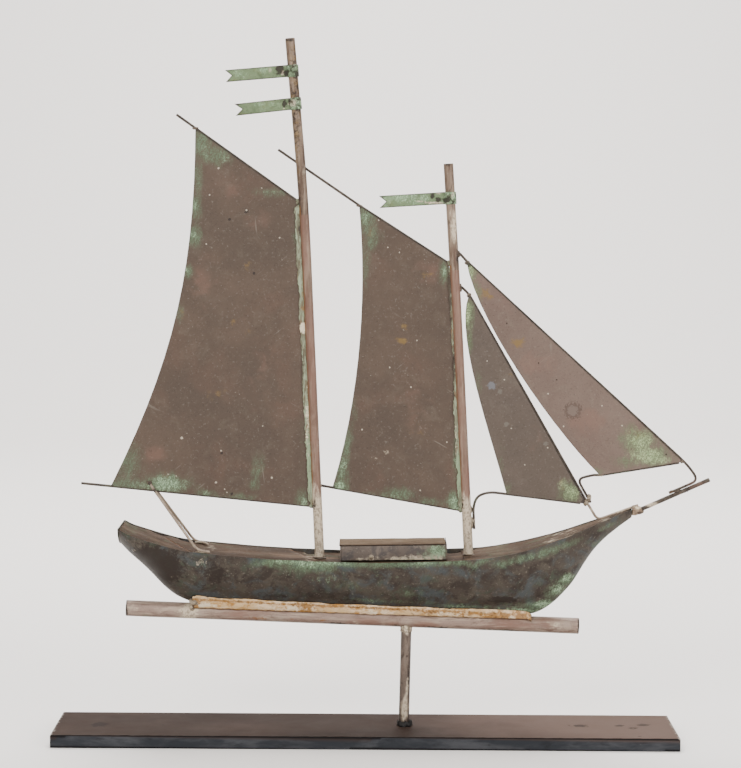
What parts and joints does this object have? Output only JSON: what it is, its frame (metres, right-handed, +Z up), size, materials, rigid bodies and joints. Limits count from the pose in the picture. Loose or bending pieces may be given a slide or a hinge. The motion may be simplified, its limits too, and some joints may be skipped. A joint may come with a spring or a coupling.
{
  "type": "weather vane",
  "caption": "Copper schooner weather vane: hull, deckhouse, masts, sheet sails, pennants and wire rigging on a keel pipe that turns on an upright spindle over a flat steel bar.",
  "frame": {"origin": "on the underside of the base bar, on the axis of the spindle", "axes": "+X towards the bow, +Y to port, +Z up along the spindle the vane turns on"},
  "size_m": [0.6521, 0.1016, 0.6966],
  "materials": {
    "bar_steel": "dark satin patina, rubbed edges",
    "weld_steel": "black ragged weld",
    "spindle_steel": "dull turned steel",
    "pipe_copper": "old copper pipe, mauve-grey, stained",
    "mast_copper": "old copper tube, worn to pinkish brown",
    "sail_copper": "brown patina with verdigris at the edges",
    "hull_copper": "near-black patina with green bands",
    "deck_copper": "tan-brown patina",
    "house_copper": "grey-brown patina with solder smears",
    "pennant_copper": "pale verdigris with dark edges",
    "wire_copper": "dark brown wire",
    "pale_solder": "dull beige solder with rust-orange edges",
    "green_solder": "dull solder grown over with pale verdigris"
  },
  "bodies": {
    "stand": {"base_bar": "bar_steel", "spindle": "spindle_steel", "spindle_weld": "weld_steel"},
    "vane": {"keel_pipe": "pipe_copper", "socket_tube": "pipe_copper", "socket_solder": "pale_solder", "keel_solder_starboard": "pale_solder", "keel_solder_port": "pale_solder", "bow_solder": "pale_solder", "hull_starboard_shell": "hull_copper", "hull_port_shell": "hull_copper", "transom": "hull_copper", "stern_deck": "deck_copper", "quarter_deck": "deck_copper", "waist_deck": "deck_copper", "fore_deck": "deck_copper", "deckhouse_side_starboard": "house_copper", "deckhouse_side_port": "house_copper", "deckhouse_end_aft": "house_copper", "deckhouse_end_fore": "house_copper", "deckhouse_roof": "house_copper", "mainmast": "mast_copper", "foremast": "mast_copper", "main_pennant_upper": "pennant_copper", "main_pennant_lower": "pennant_copper", "fore_pennant": "pennant_copper", "mainsail": "sail_copper", "foresail": "sail_copper", "staysail": "sail_copper", "jib": "sail_copper", "mainsail_luff_solder_starboard": "green_solder", "mainsail_luff_solder_port": "green_solder", "foresail_luff_solder_starboard": "green_solder", "foresail_luff_solder_port": "green_solder", "main_gaff": "wire_copper", "main_boom": "wire_copper", "fore_gaff": "wire_copper", "fore_boom": "wire_copper", "bowsprit": "wire_copper", "forestay": "wire_copper", "inner_forestay_upper": "wire_copper", "inner_forestay_lower": "wire_copper", "jib_foot_wire": "wire_copper", "staysail_foot_wire": "wire_copper", "mainsheet_starboard": "wire_copper", "mainsheet_port": "wire_copper"}
  },
  "joints": [
    {"name": "vane_spin", "type": "hinge", "parent": "stand", "child": "vane", "pos_m": [0, 0, 0.1209], "axis": [0, 0, 1], "continuous": true}
  ]
}
